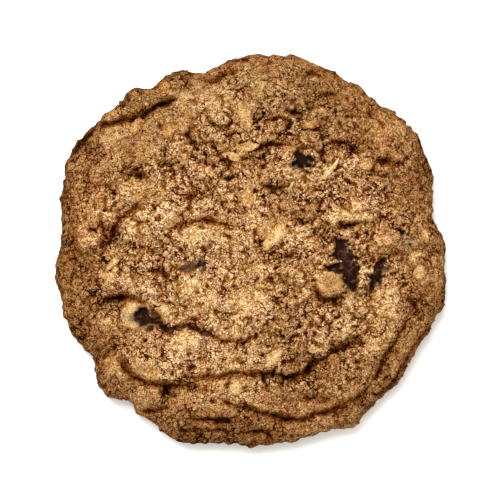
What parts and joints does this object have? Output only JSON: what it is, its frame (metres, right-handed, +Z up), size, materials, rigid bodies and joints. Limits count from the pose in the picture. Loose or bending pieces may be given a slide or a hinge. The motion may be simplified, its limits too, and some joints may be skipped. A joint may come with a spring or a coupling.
{
  "type": "oatmeal chocolate chip cookie",
  "caption": "Thick round baked cookie with a craggy, folded brown crust, rolled oat flakes baked into it and dark chocolate chips half sunk in its top.",
  "frame": {"origin": "middle of the flat base, on the surface that the cookie rests on", "axes": "+Z up through the top, +X to the right and +Y away in the picture, which looks down on the top"},
  "size_m": [0.0902, 0.0908, 0.014],
  "materials": {
    "dough": "baked oat dough, rough and crumbly",
    "chocolate": "dark chocolate, softly glossy"
  },
  "bodies": {
    "root": {"dough": "dough", "chocolate_chip_1": "chocolate", "chocolate_chip_2": "chocolate", "chocolate_chip_3": "chocolate", "chocolate_chip_4": "chocolate", "chocolate_chip_5": "chocolate", "chocolate_chip_6": "chocolate", "chocolate_chip_7": "chocolate", "chocolate_chip_8": "chocolate"}
  },
  "joints": []
}
